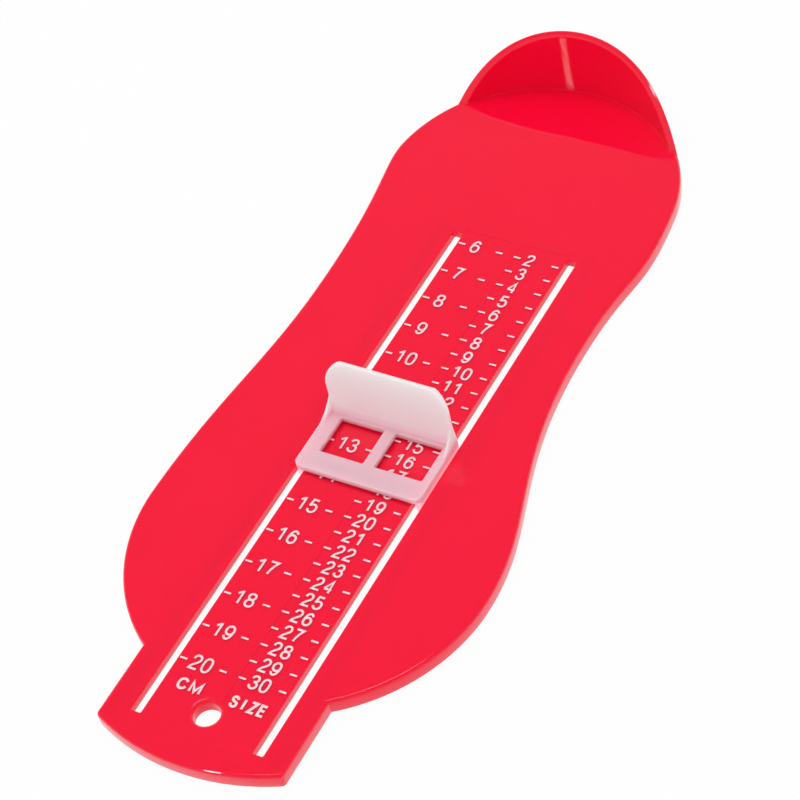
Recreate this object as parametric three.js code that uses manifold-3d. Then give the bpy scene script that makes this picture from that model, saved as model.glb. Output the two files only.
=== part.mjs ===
// A gauge for a small child's foot: a moulded plate with a heel stop, a raised scale and two
// long slots, and a frosted slider that clips through the slots and carries the toe stop.
// Millimetres. While it is built, x is 0 on the middle line between the slots, y is 0 at the
// zero of the scale with the heel at +y, and z is 0 on the top of the plate.
import * as THREE from "three";
import { mergeVertices } from "three/addons/utils/BufferGeometryUtils.js";
import Module from "manifold-3d";

// Plate: a thin top with a rim turned down all round it
const PLATE_THICK = 2.1;
const RIM_DEPTH = 4.0;
const RIM_WALL = 1.8;
const EDGE_ROUND = 0.8;

// How finely round forms are divided, and how close two points are one
const CURVE_STEPS = 11;
const ROUND_STEPS = 16;
const EDGE_STEPS = 3;
const CORNER_STEPS = 6;
const GUSSET_STEPS = 8;
const LEAD_IN_STEPS = 4;
const STROKE_STEPS = 3;
const SAME_POINT = 0.01;
const WELD = 1e-4;

// Outline: its length, and the heel end
const LENGTH = 229.4;
const HEEL_X = -6.9;
const HEEL_Y = -36.6;
const HEEL_RADIUS = 40.3;
const HEEL_ARC_END = THREE.MathUtils.degToRad(7.5);
const TAIL_END_Y = HEEL_Y + HEEL_RADIUS - LENGTH;

// Outline, waist and ball; each pull is the length of a curve's handle
const LEFT_WAIST = { x: -42.6, y: -85.9, heelPull: 9.1, upPull: 35.8, downPull: 27.6 };
const RIGHT_WAIST = { x: 31.5, y: -81.5, heelPull: 27.0, upPull: 27.5, downPull: 40.7 };
const BALL_FROM_TAIL = 66.7;
const BALL_Y = TAIL_END_Y + BALL_FROM_TAIL;
const BALL_LEFT = -47.7;
const BALL_RIGHT = 45.1;
const BALL_RADIUS = 48.0;
const LEFT_BALL_PULL = 32.0;
const RIGHT_BALL_PULL = 25.2;

// Outline, tail that is held or hung up; its end is an arc, a little to the left
const TAIL_LEFT = -24.9;
const TAIL_RIGHT = 24.4;
const TAIL_ARC_X = -1.2;
const TAIL_ARC_RADIUS = 58.3;
const TAIL_ARC_Y = TAIL_END_Y + TAIL_ARC_RADIUS;
const TAIL_CORNER_ROUND = 0.9;

// Heel stop: the rim's outer face carried up with some draft, under an edge that flattens
const HEEL_WALL = 1.8;
const HEEL_DRAFT = 0.025;
const HEEL_EDGE_Y = -12.6;
const HEEL_EDGE_RUN = 20.0;
const HEEL_EDGE_SLOPE = 1.735;
const HEEL_EDGE_RISE = 23.1;

// Slots that guide the slider, and the hole to hang the gauge by
const SLOT_X = 16.35;
const SLOT_WIDTH = 2.7;
const SLOT_HEEL_END = -56.4;
const SLOT_FROM_TAIL = 8.9;
const SLOT_TAIL_END = TAIL_END_Y + SLOT_FROM_TAIL;
const HOLE_X = -0.5;
const HOLE_FROM_TAIL = 14.4;
const HOLE_Y = TAIL_END_Y + HOLE_FROM_TAIL;
const HOLE_RADIUS = 3.25;
const HOLE_LEAD_IN = 0.9;
const COLLAR_WALL = 1.3;
const COLLAR_DROP = 3.4;

// Ribs under the plate, outside the slots
const RIB_THICK = 1.2;
const RIB_DROP = 1.2;
const RIB_FROM_SLOT = 3.0;
const RIB_OVERRUN = 2.0;

// Scale: raised ticks and numbers, centimetres on the left, sizes on the right
const RELIEF = 0.3;
const TICK_THICK = 0.5;
const STROKE = 0.56;
const CENTIMETRES = {
  first: 6,
  last: 20,
  zeroY: 0,
  step: 10,
  tickLength: 1.9,
  outerTick: -14.3,
  innerTick: -3.6,
  numberX: -11.3,
  singleShift: 0.55,
  digitHeight: 4.3,
  digitPitch: 3.0,
};
const SIZES = {
  first: 2,
  last: 30,
  zeroY: -50,
  step: 5,
  tickLength: 1.9,
  outerTick: 12.35,
  innerTick: 1.6,
  numberX: 4.55,
  singleShift: 0.35,
  digitHeight: 4.0,
  digitPitch: 2.85,
};
const LABEL_FROM_HOLE = 5.0;
const LABEL_Y = HOLE_Y + LABEL_FROM_HOLE;
const LABEL_HEIGHT = 3.4;
const LABEL_STROKE = 0.66;
const CM_LABEL = { text: "CM", x: -11.2, pitch: 3.4 };
const SIZE_LABEL = { text: "SIZE", x: 3.1, pitch: 2.45 };

// Slider, at rest between 12 and 14 centimetres
const FRONT_Y = -141.5;
const FRAME_LENGTH = 20.6;
const FRAME_THICK = 1.6;
const FRAME_LIFT = 0.6;
const FRAME_CORNER = 2.5;
const FRONT_BAR = 6.1;
const WINDOW_LENGTH = 11.2;
const LEFT_WINDOW = { from: -13.2, to: -1.0 };
const RIGHT_WINDOW = { from: 2.0, to: 15.2 };

// Cheeks of the slider: they run in the slots and end in clips under the plate
const SLOT_PLAY = 0.3;
const CHEEK_INSET = 1.3;
const CLIP_PLAY = 0.3;
const CLIP_REACH = 1.3;
const CLIP_THICK = 0.6;
const CLIP_TAPER = 0.7;
const CLIP_INSET = 3.0;
const CLIP_ROOT = 0.3;
const GUSSET_THICK = 1.0;
const GUSSET_LENGTH = 6.0;
const GUSSET_HEIGHT = 4.7;
const GUSSET_PULL = { back: 2.8, up: 0.45 };

// Toe stop: the wall across the slider, its top curled towards the heel
const TOE_WALL = 1.4;
const TOE_TOP = 17.9;
const TOE_CURL_FROM = 10.0;
const TOE_CURL_RADIUS = 17.0;
const TOE_CORNER = 6.3;
const TOE_TAPER = 0.5;
const TOE_TAPER_TO = 7.0;

// Side of a block that is only there to cut with, longer than the gauge
const BLOCK = 600;

const RED = { color: 0xf0122f, roughness: 0.22, metalness: 0.0 };
const FROSTED = { color: 0xe6cdd2, roughness: 0.42, metalness: 0.0 };

const wasm = await Module();
wasm.setup();

// A closed three.js geometry as a solid that can be joined and cut.
function solid(geometry) {
  const bare = geometry.clone();
  bare.deleteAttribute("normal");
  bare.deleteAttribute("uv");
  const merged = mergeVertices(bare, WELD);
  const mesh = new wasm.Mesh({
    numProp: 3,
    vertProperties: new Float32Array(merged.attributes.position.array),
    triVerts: new Uint32Array(merged.index.array),
  });
  return new wasm.Manifold(mesh);
}

// A solid as a named mesh of the scene.
function meshOf(name, body, look) {
  const { vertProperties, triVerts } = body.getMesh();
  const geometry = new THREE.BufferGeometry();
  geometry.setAttribute("position", new THREE.BufferAttribute(vertProperties, 3));
  geometry.setIndex(new THREE.BufferAttribute(triVerts, 1));
  geometry.computeVertexNormals();
  const mesh = new THREE.Mesh(geometry, new THREE.MeshStandardMaterial(look));
  mesh.name = name;
  return mesh;
}

// A flat shape raised from one height to another.
function upright(shape, bottom, top, curveSegments = ROUND_STEPS) {
  const options = { depth: top - bottom, bevelEnabled: false, curveSegments };
  return new THREE.ExtrudeGeometry(shape, options).translate(0, 0, bottom);
}

// A shape drawn in (y, z) and carried from one x to another.
function crosswise(shape, fromX, toX, curveSegments = ROUND_STEPS) {
  const geometry = upright(shape, fromX, toX, curveSegments);
  const turn = new THREE.Matrix4();
  turn.makeBasis(
    new THREE.Vector3(0, 1, 0),
    new THREE.Vector3(0, 0, 1),
    new THREE.Vector3(1, 0, 0),
  );
  return geometry.applyMatrix4(turn);
}

// A shape drawn in (x, z) and carried from one y to another.
function lengthwise(shape, fromY, toY, curveSegments = ROUND_STEPS) {
  const geometry = upright(shape, -toY, -fromY, curveSegments);
  return geometry.rotateX(Math.PI / 2);
}

function rectangle(fromX, toX, fromY, toY) {
  const corners = [
    new THREE.Vector2(fromX, fromY),
    new THREE.Vector2(toX, fromY),
    new THREE.Vector2(toX, toY),
    new THREE.Vector2(fromX, toY),
  ];
  return new THREE.Shape(corners);
}

// Where the tail's end arc stands at a given x.
function tailEnd(x) {
  return TAIL_ARC_Y - Math.sqrt(TAIL_ARC_RADIUS ** 2 - (x - TAIL_ARC_X) ** 2);
}

// The foot-shaped outline, anticlockwise along the tail's end from its left corner.
function outline(cornerRound) {
  const shape = new THREE.Shape();
  const turn = cornerRound / TAIL_ARC_RADIUS;
  const leftTurn = Math.asin((TAIL_LEFT - TAIL_ARC_X) / TAIL_ARC_RADIUS) + turn;
  const rightTurn = Math.asin((TAIL_RIGHT - TAIL_ARC_X) / TAIL_ARC_RADIUS) - turn;
  const leftCornerY = tailEnd(TAIL_LEFT);
  const rightCornerY = tailEnd(TAIL_RIGHT);
  const rightBallX = BALL_RIGHT - BALL_RADIUS;
  const leftBallX = BALL_LEFT + BALL_RADIUS;
  const rightNeck = Math.acos((TAIL_RIGHT - rightBallX) / BALL_RADIUS);
  const leftNeck = Math.acos((leftBallX - TAIL_LEFT) / BALL_RADIUS);
  const cos = Math.cos(HEEL_ARC_END);
  const sin = Math.sin(HEEL_ARC_END);
  const heelEndY = HEEL_Y + HEEL_RADIUS * sin;
  const rightHeelX = HEEL_X + HEEL_RADIUS * cos;
  const leftHeelX = HEEL_X - HEEL_RADIUS * cos;

  shape.absarc(
    TAIL_ARC_X,
    TAIL_ARC_Y,
    TAIL_ARC_RADIUS,
    leftTurn - Math.PI / 2,
    rightTurn - Math.PI / 2,
    false,
  );
  shape.quadraticCurveTo(TAIL_RIGHT, rightCornerY, TAIL_RIGHT, rightCornerY + cornerRound);
  shape.absarc(rightBallX, BALL_Y, BALL_RADIUS, -rightNeck, 0, false);
  shape.bezierCurveTo(
    BALL_RIGHT,
    BALL_Y + RIGHT_BALL_PULL,
    RIGHT_WAIST.x,
    RIGHT_WAIST.y - RIGHT_WAIST.downPull,
    RIGHT_WAIST.x,
    RIGHT_WAIST.y,
  );
  shape.bezierCurveTo(
    RIGHT_WAIST.x,
    RIGHT_WAIST.y + RIGHT_WAIST.upPull,
    rightHeelX + RIGHT_WAIST.heelPull * sin,
    heelEndY - RIGHT_WAIST.heelPull * cos,
    rightHeelX,
    heelEndY,
  );
  shape.absarc(HEEL_X, HEEL_Y, HEEL_RADIUS, HEEL_ARC_END, Math.PI - HEEL_ARC_END, false);
  shape.bezierCurveTo(
    leftHeelX - LEFT_WAIST.heelPull * sin,
    heelEndY - LEFT_WAIST.heelPull * cos,
    LEFT_WAIST.x,
    LEFT_WAIST.y + LEFT_WAIST.upPull,
    LEFT_WAIST.x,
    LEFT_WAIST.y,
  );
  shape.bezierCurveTo(
    LEFT_WAIST.x,
    LEFT_WAIST.y - LEFT_WAIST.downPull,
    BALL_LEFT,
    BALL_Y + LEFT_BALL_PULL,
    BALL_LEFT,
    BALL_Y,
  );
  shape.absarc(leftBallX, BALL_Y, BALL_RADIUS, Math.PI, Math.PI + leftNeck, false);
  shape.lineTo(TAIL_LEFT, leftCornerY + cornerRound);
  shape.quadraticCurveTo(
    TAIL_LEFT,
    leftCornerY,
    TAIL_ARC_X + TAIL_ARC_RADIUS * Math.sin(leftTurn),
    TAIL_ARC_Y - TAIL_ARC_RADIUS * Math.cos(leftTurn),
  );
  return shape;
}

// The outline's points, without any that lie on top of each other.
function outlinePoints(cornerRound) {
  const points = outline(cornerRound).getPoints(CURVE_STEPS);
  return points.filter((point, i) => {
    const before = points[(i + points.length - 1) % points.length];
    return point.distanceTo(before) > SAME_POINT;
  });
}

// A closed anticlockwise loop moved inwards by a distance.
function inset(points, distance) {
  return points.map((point, i) => {
    const before = points[(i + points.length - 1) % points.length];
    const after = points[(i + 1) % points.length];
    const into = point.clone().sub(before).normalize();
    const out = after.clone().sub(point).normalize();
    const side = new THREE.Vector2(-into.y - out.y, into.x + out.x).normalize();
    const stretch = distance / side.dot(new THREE.Vector2(-into.y, into.x));
    return point.clone().addScaledVector(side, stretch);
  });
}

// The top of the plate with its rounded edge, the rim, and the hollow under it.
function shell(points) {
  const spare = 2 * EDGE_ROUND;
  const rounded = new THREE.ExtrudeGeometry(new THREE.Shape(points), {
    depth: RIM_DEPTH + spare - EDGE_ROUND,
    bevelEnabled: true,
    bevelThickness: EDGE_ROUND,
    bevelSize: EDGE_ROUND,
    bevelOffset: -EDGE_ROUND,
    bevelSegments: EDGE_STEPS,
  });
  rounded.translate(0, 0, -RIM_DEPTH - spare);
  const hollowOutline = new THREE.Shape(inset(outlinePoints(0), RIM_WALL));
  const hollow = upright(hollowOutline, -2 * RIM_DEPTH, -PLATE_THICK);
  const below = new THREE.BoxGeometry(BLOCK, BLOCK, BLOCK);
  below.translate(0, 0, -RIM_DEPTH - BLOCK / 2);
  return solid(rounded).subtract(solid(below)).subtract(solid(hollow));
}

// The heel stop: a drafted ring on the plate's outer edge, kept below its curved top edge.
function heelStop() {
  const top = HEEL_EDGE_RISE;
  const section = [
    new THREE.Vector2(HEEL_RADIUS - HEEL_WALL, -PLATE_THICK),
    new THREE.Vector2(HEEL_RADIUS, -PLATE_THICK),
    new THREE.Vector2(HEEL_RADIUS, 0),
    new THREE.Vector2(HEEL_RADIUS - HEEL_DRAFT * top, top),
    new THREE.Vector2(HEEL_RADIUS - HEEL_WALL, top),
    new THREE.Vector2(HEEL_RADIUS - HEEL_WALL, -PLATE_THICK),
  ];
  const sides = Math.round((4 * Math.PI * CURVE_STEPS) / (Math.PI - 2 * HEEL_ARC_END));
  const ring = new THREE.LatheGeometry(section, sides);
  ring.rotateX(Math.PI / 2).translate(HEEL_X, HEEL_Y, 0);
  const edgeEnd = HEEL_EDGE_Y + HEEL_EDGE_RUN;
  const below = new THREE.Shape();
  below.moveTo(HEEL_EDGE_Y, -2 * PLATE_THICK);
  below.lineTo(edgeEnd, -2 * PLATE_THICK);
  below.lineTo(edgeEnd, top);
  below.quadraticCurveTo(
    HEEL_EDGE_Y + HEEL_EDGE_RUN / 2,
    (HEEL_EDGE_SLOPE * HEEL_EDGE_RUN) / 2,
    HEEL_EDGE_Y,
    0,
  );
  const kept = crosswise(below, HEEL_X - 2 * HEEL_RADIUS, HEEL_X + 2 * HEEL_RADIUS);
  return solid(ring).intersect(solid(kept));
}

function slots() {
  const half = SLOT_WIDTH / 2;
  return [-SLOT_X, SLOT_X].map((x) => {
    const shape = rectangle(x - half, x + half, SLOT_TAIL_END, SLOT_HEEL_END);
    return solid(upright(shape, -2 * RIM_DEPTH, RIM_DEPTH));
  });
}

// The hanging hole with its rounded lead-in at the top.
function hangingHole() {
  const profile = [
    new THREE.Vector2(0, -2 * RIM_DEPTH),
    new THREE.Vector2(HOLE_RADIUS, -2 * RIM_DEPTH),
  ];
  for (let i = 0; i <= LEAD_IN_STEPS; i += 1) {
    const turn = (i / LEAD_IN_STEPS) * (Math.PI / 2);
    const out = HOLE_LEAD_IN * (1 - Math.cos(turn));
    const up = HOLE_LEAD_IN * (Math.sin(turn) - 1);
    profile.push(new THREE.Vector2(HOLE_RADIUS + out, up));
  }
  profile.push(new THREE.Vector2(HOLE_RADIUS + HOLE_LEAD_IN, RIM_DEPTH));
  profile.push(new THREE.Vector2(0, RIM_DEPTH));
  const turned = new THREE.LatheGeometry(profile, 2 * ROUND_STEPS);
  return solid(turned.rotateX(Math.PI / 2).translate(HOLE_X, HOLE_Y, 0));
}

// The collar under the plate round the hanging hole.
function collar() {
  const radius = HOLE_RADIUS + COLLAR_WALL;
  const height = COLLAR_DROP - PLATE_THICK / 2;
  const drum = new THREE.CylinderGeometry(radius, radius, height, 2 * ROUND_STEPS);
  drum.rotateX(Math.PI / 2).translate(HOLE_X, HOLE_Y, height / 2 - COLLAR_DROP);
  return solid(drum);
}

// Two ribs that stiffen the plate beside its slots.
function ribs() {
  const inner = SLOT_X + SLOT_WIDTH / 2 + RIB_FROM_SLOT;
  const from = SLOT_TAIL_END - RIB_OVERRUN;
  const to = SLOT_HEEL_END + RIB_OVERRUN;
  const joined = PLATE_THICK / 2;
  return [-1, 1].map((side) => {
    const near = Math.min(side * inner, side * (inner + RIB_THICK));
    const shape = rectangle(near, near + RIB_THICK, from, to);
    return solid(upright(shape, -PLATE_THICK - RIB_DROP, -joined));
  });
}

// Strokes of the raised figures, on a field one unit high. Each stroke is a start and then
// straight pieces of two numbers or curves of six. A stroke that ends at its start is a ring.
const FIGURES = {
  0: [
    [
      [0.27, 1],
      [0.5, 1, 0.54, 0.76, 0.54, 0.5],
      [0.54, 0.24, 0.5, 0, 0.27, 0],
      [0.04, 0, 0, 0.24, 0, 0.5],
      [0, 0.76, 0.04, 1, 0.27, 1],
    ],
  ],
  1: [
    [[0.34, 1], [0.34, 0]],
    [[0.06, 0.74], [0.33, 0.96]],
  ],
  2: [
    [
      [0.02, 0.72],
      [0.04, 1.1, 0.52, 1.09, 0.52, 0.74],
      [0.52, 0.46, 0.08, 0.36, 0, 0],
      [0.54, 0],
    ],
  ],
  3: [
    [
      [0.02, 0.77],
      [0.06, 1.09, 0.49, 1.07, 0.49, 0.76],
      [0.49, 0.6, 0.36, 0.53, 0.2, 0.53],
    ],
    [
      [0.2, 0.53],
      [0.4, 0.53, 0.54, 0.44, 0.54, 0.28],
      [0.54, -0.1, 0.03, -0.09, 0, 0.24],
    ],
  ],
  4: [
    [[0.42, 0], [0.42, 1], [0, 0.3]],
    [[0, 0.3], [0.56, 0.3]],
  ],
  5: [
    [[0.5, 1], [0.1, 1], [0.03, 0.46]],
    [
      [0.03, 0.5],
      [0.2, 0.72, 0.54, 0.66, 0.54, 0.33],
      [0.54, -0.1, 0.03, -0.1, 0, 0.22],
    ],
  ],
  6: [
    [[0.51, 0.77], [0.44, 1.1, 0, 1.1, 0, 0.34]],
    [
      [0, 0.33],
      [0, -0.11, 0.54, -0.11, 0.54, 0.33],
      [0.54, 0.74, 0, 0.74, 0, 0.33],
    ],
  ],
  7: [
    [[0, 1], [0.54, 1], [0.36, 0.76, 0.22, 0.4, 0.18, 0]],
  ],
  8: [
    [
      [0.27, 0.54],
      [-0.04, 0.54, -0.04, 1, 0.27, 1],
      [0.58, 1, 0.58, 0.54, 0.27, 0.54],
    ],
    [
      [0.27, 0.54],
      [-0.09, 0.54, -0.09, 0, 0.27, 0],
      [0.63, 0, 0.63, 0.54, 0.27, 0.54],
    ],
  ],
  9: [
    [[0.03, 0.23], [0.1, -0.1, 0.54, -0.1, 0.54, 0.66]],
    [
      [0.54, 0.67],
      [0.54, 1.11, 0, 1.11, 0, 0.67],
      [0, 0.26, 0.54, 0.26, 0.54, 0.67],
    ],
  ],
  C: [
    [
      [0.74, 0.74],
      [0.64, 1.09, 0, 1.14, 0, 0.5],
      [0, -0.14, 0.67, -0.09, 0.76, 0.29],
    ],
  ],
  M: [
    [[0, 0], [0, 1], [0.46, 0.08], [0.92, 1], [0.92, 0]],
  ],
  S: [
    [
      [0.5, 0.75],
      [0.46, 1.08, 0.02, 1.08, 0.02, 0.77],
      [0.02, 0.42, 0.54, 0.62, 0.54, 0.26],
      [0.54, -0.09, 0.03, -0.09, 0, 0.27],
    ],
  ],
  I: [
    [[0.27, 1], [0.27, 0]],
  ],
  Z: [
    [[0.02, 1], [0.52, 1], [0, 0], [0.54, 0]],
  ],
  E: [
    [[0.52, 1], [0.02, 1], [0.02, 0], [0.54, 0]],
    [[0.02, 0.52], [0.48, 0.52]],
  ],
};
// Bends sharper than this, as the cosine of half the turn, keep a blunt mitre.
const SHARPEST_MITRE = 0.45;

// A stroke's middle line at its real size, with its foot at (x, y).
function strokePoints(stroke, x, y, height, width) {
  const field = height - width;
  const place = (u, v) => new THREE.Vector2(x + u * field, y + width / 2 + v * field);
  const points = [place(...stroke[0])];
  for (const piece of stroke.slice(1)) {
    if (piece.length === 2) {
      points.push(place(...piece));
      continue;
    }
    const [a, b, c, d, e, f] = piece;
    const start = points[points.length - 1];
    const curve = new THREE.CubicBezierCurve(start, place(a, b), place(c, d), place(e, f));
    points.push(...curve.getPoints(STROKE_STEPS).slice(1));
  }
  return points;
}

// A middle line widened to a ribbon with mitred bends, or to a ring if it is closed.
function ribbon(points, width) {
  const closed = points[0].distanceTo(points[points.length - 1]) < WELD;
  const line = closed ? points.slice(0, -1) : points;
  const left = [];
  const right = [];
  line.forEach((point, i) => {
    const before = line[i - 1] ?? (closed ? line[line.length - 1] : null);
    const after = line[i + 1] ?? (closed ? line[0] : null);
    const into = (before ? point.clone().sub(before) : after.clone().sub(point)).normalize();
    const out = (after ? after.clone().sub(point) : into.clone()).normalize();
    const side = new THREE.Vector2(-into.y - out.y, into.x + out.x).normalize();
    const square = side.dot(new THREE.Vector2(-into.y, into.x));
    const stretch = width / 2 / Math.max(SHARPEST_MITRE, square);
    left.push(point.clone().addScaledVector(side, stretch));
    right.push(point.clone().addScaledVector(side, -stretch));
  });
  if (!closed) return new THREE.Shape([...right, ...left.reverse()]);
  const clockwise = THREE.ShapeUtils.isClockWise(line);
  const ring = new THREE.Shape(clockwise ? left.reverse() : right);
  ring.holes.push(new THREE.Path(clockwise ? right : left));
  return ring;
}

// A mark of the scale, rooted in the plate's thickness.
function raised(shape) {
  return solid(upright(shape, -PLATE_THICK / 2, RELIEF));
}

function figure(letter, x, y, height, width) {
  return FIGURES[letter].map((stroke) => {
    const line = strokePoints(stroke, x + width / 2, y, height, width);
    return raised(ribbon(line, width));
  });
}

function figures(text, x, middleY, height, pitch, width) {
  const foot = middleY - height / 2;
  return [...text].flatMap((letter, i) => figure(letter, x + i * pitch, foot, height, width));
}

// One column of the scale: a tick each side of every number.
function scaleColumn(column) {
  const marks = [];
  for (let n = column.first; n <= column.last; n += 1) {
    const y = column.zeroY - column.step * n;
    for (const x of [column.outerTick, column.innerTick]) {
      const tick = rectangle(x, x + column.tickLength, y - TICK_THICK / 2, y + TICK_THICK / 2);
      marks.push(raised(tick));
    }
    const single = n < 10 ? column.singleShift : 0;
    const x = column.numberX + single;
    marks.push(...figures(String(n), x, y, column.digitHeight, column.digitPitch, STROKE));
  }
  return marks;
}

function scaleMarks() {
  const labels = [CM_LABEL, SIZE_LABEL].flatMap(({ text, x, pitch }) =>
    figures(text, x, LABEL_Y, LABEL_HEIGHT, pitch, LABEL_STROKE),
  );
  return [...scaleColumn(CENTIMETRES), ...scaleColumn(SIZES), ...labels];
}

function basePlate() {
  const points = outlinePoints(TAIL_CORNER_ROUND);
  let body = shell(points).add(heelStop()).add(collar());
  for (const rib of ribs()) body = body.add(rib);
  body = body.add(wasm.Manifold.union(scaleMarks()));
  for (const cut of [...slots(), hangingHole()]) body = body.subtract(cut);
  return body;
}

// Outer face of the cheeks, which is the slider's side all the way up.
const CHEEK_OUTER = SLOT_X + SLOT_WIDTH / 2 - SLOT_PLAY;
const CHEEK_INNER = SLOT_X - SLOT_WIDTH / 2 + SLOT_PLAY;
const REAR_Y = FRONT_Y + FRAME_LENGTH;
const FRAME_TOP = FRAME_LIFT + FRAME_THICK;
const WINDOW_FRONT = FRONT_Y + FRONT_BAR;
const WINDOW_REAR = WINDOW_FRONT + WINDOW_LENGTH;
const TOE_FRONT = REAR_Y - TOE_WALL;

// A window through the frame, to read one column of the scale.
function readingWindow({ from, to }) {
  const shape = rectangle(from, to, WINDOW_FRONT, WINDOW_REAR);
  return solid(upright(shape, FRAME_LIFT - FRAME_THICK, FRAME_TOP + FRAME_THICK));
}

// The flat frame with its two windows and rounded front corners.
function frame() {
  const shape = new THREE.Shape();
  shape.moveTo(CHEEK_OUTER, REAR_Y);
  shape.lineTo(-CHEEK_OUTER, REAR_Y);
  shape.lineTo(-CHEEK_OUTER, FRONT_Y + FRAME_CORNER);
  shape.quadraticCurveTo(-CHEEK_OUTER, FRONT_Y, -CHEEK_OUTER + FRAME_CORNER, FRONT_Y);
  shape.lineTo(CHEEK_OUTER - FRAME_CORNER, FRONT_Y);
  shape.quadraticCurveTo(CHEEK_OUTER, FRONT_Y, CHEEK_OUTER, FRONT_Y + FRAME_CORNER);
  const plate = solid(upright(shape, FRAME_LIFT, FRAME_TOP, CORNER_STEPS));
  return plate.subtract(readingWindow(LEFT_WINDOW)).subtract(readingWindow(RIGHT_WINDOW));
}

// A cheek from the clip under the plate up through the frame.
function cheek(side) {
  const bottom = -PLATE_THICK - CLIP_PLAY - CLIP_THICK - CLIP_TAPER;
  const near = Math.min(side * CHEEK_INNER, side * CHEEK_OUTER);
  const shape = rectangle(near, near + CHEEK_OUTER - CHEEK_INNER, FRONT_Y + CHEEK_INSET, REAR_Y);
  return solid(upright(shape, bottom, FRAME_TOP));
}

// The gusset that stays the toe stop against the frame, in line with the cheek's outer face.
function gusset(side) {
  const shape = new THREE.Shape();
  shape.moveTo(TOE_FRONT - GUSSET_LENGTH, FRAME_LIFT);
  shape.lineTo(REAR_Y, FRAME_LIFT);
  shape.lineTo(REAR_Y, FRAME_TOP + GUSSET_HEIGHT);
  shape.lineTo(TOE_FRONT, FRAME_TOP + GUSSET_HEIGHT);
  shape.quadraticCurveTo(
    TOE_FRONT - GUSSET_PULL.back,
    FRAME_TOP + GUSSET_PULL.up,
    TOE_FRONT - GUSSET_LENGTH,
    FRAME_TOP,
  );
  const near = side < 0 ? -CHEEK_OUTER : CHEEK_OUTER - GUSSET_THICK;
  return solid(crosswise(shape, near, near + GUSSET_THICK, GUSSET_STEPS));
}

// The clip that catches under the edge of a slot.
function clip(side) {
  const top = -PLATE_THICK - CLIP_PLAY;
  const reach = CHEEK_OUTER + CLIP_REACH;
  const corners = [
    new THREE.Vector2(side * (CHEEK_OUTER - CLIP_ROOT), top),
    new THREE.Vector2(side * reach, top),
    new THREE.Vector2(side * reach, top - CLIP_THICK),
    new THREE.Vector2(side * CHEEK_OUTER, top - CLIP_THICK - CLIP_TAPER),
    new THREE.Vector2(side * (CHEEK_OUTER - CLIP_ROOT), top - CLIP_THICK - CLIP_TAPER),
  ];
  const shape = new THREE.Shape(corners);
  return solid(lengthwise(shape, FRONT_Y + CLIP_INSET, REAR_Y - CLIP_INSET));
}

// The toe stop: a wall that rises from the frame in a hollow curve and curls over at its top.
function toeStop() {
  const centre = TOE_FRONT + TOE_CURL_RADIUS;
  const inner = TOE_CURL_RADIUS - TOE_WALL;
  const angle = Math.asin((TOE_TOP - TOE_CURL_FROM) / TOE_CURL_RADIUS);
  const fillet = TOE_FRONT - WINDOW_REAR;
  const side = new THREE.Shape();
  side.moveTo(REAR_Y, FRAME_LIFT);
  side.lineTo(REAR_Y, TOE_CURL_FROM);
  side.absarc(centre, TOE_CURL_FROM, inner, Math.PI, Math.PI - angle, true);
  side.absarc(centre, TOE_CURL_FROM, TOE_CURL_RADIUS, Math.PI - angle, Math.PI, false);
  side.absarc(WINDOW_REAR, FRAME_TOP + fillet, fillet, 0, -Math.PI / 2, true);
  side.lineTo(WINDOW_REAR, FRAME_LIFT);
  return solid(crosswise(side, -CHEEK_OUTER, CHEEK_OUTER, GUSSET_STEPS));
}

// The space that the slider keeps to above its frame: narrower, with rounded top corners.
function sliderFace() {
  const narrow = CHEEK_OUTER - TOE_TAPER;
  const cornerZ = TOE_TOP - TOE_CORNER;
  const cornerX = narrow - TOE_CORNER;
  const face = new THREE.Shape();
  face.moveTo(-2 * CHEEK_OUTER, -2 * RIM_DEPTH);
  face.lineTo(2 * CHEEK_OUTER, -2 * RIM_DEPTH);
  face.lineTo(2 * CHEEK_OUTER, 0);
  face.lineTo(CHEEK_OUTER, FRAME_TOP);
  face.lineTo(narrow, TOE_TAPER_TO);
  face.lineTo(narrow, cornerZ);
  face.absarc(cornerX, cornerZ, TOE_CORNER, 0, Math.PI / 2, false);
  face.absarc(-cornerX, cornerZ, TOE_CORNER, Math.PI / 2, Math.PI, false);
  face.lineTo(-narrow, TOE_TAPER_TO);
  face.lineTo(-CHEEK_OUTER, FRAME_TOP);
  face.lineTo(-2 * CHEEK_OUTER, 0);
  return solid(lengthwise(face, REAR_Y - 2 * FRAME_LENGTH, REAR_Y + 2 * FRAME_LENGTH));
}

function slider() {
  const sides = [-1, 1].flatMap((side) => [cheek(side), gusset(side), clip(side)]);
  return wasm.Manifold.union([frame(), toeStop(), ...sides]).intersect(sliderFace());
}

const gauge = new THREE.Group();
gauge.add(meshOf("base_plate", basePlate(), RED));
gauge.add(meshOf("slider", slider(), FROSTED));

// The finished gauge stands on z = 0, with the middle of its box over the origin.
const box = new THREE.Box3().setFromObject(gauge);
const middle = box.getCenter(new THREE.Vector3());
gauge.position.set(-middle.x, -middle.y, -box.min.z);

export default gauge;
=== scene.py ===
"""A gauge for a small child's foot: a glossy red plate with a heel stop and a raised white
scale, and a frosted slider that runs in its two slots. Millimetres, in the CAD source's own
frame: x is 0 midway between the slots, y is 0 at the zero of the scale with the heel at +y,
and z is 0 on the top of the plate."""

import math

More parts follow.
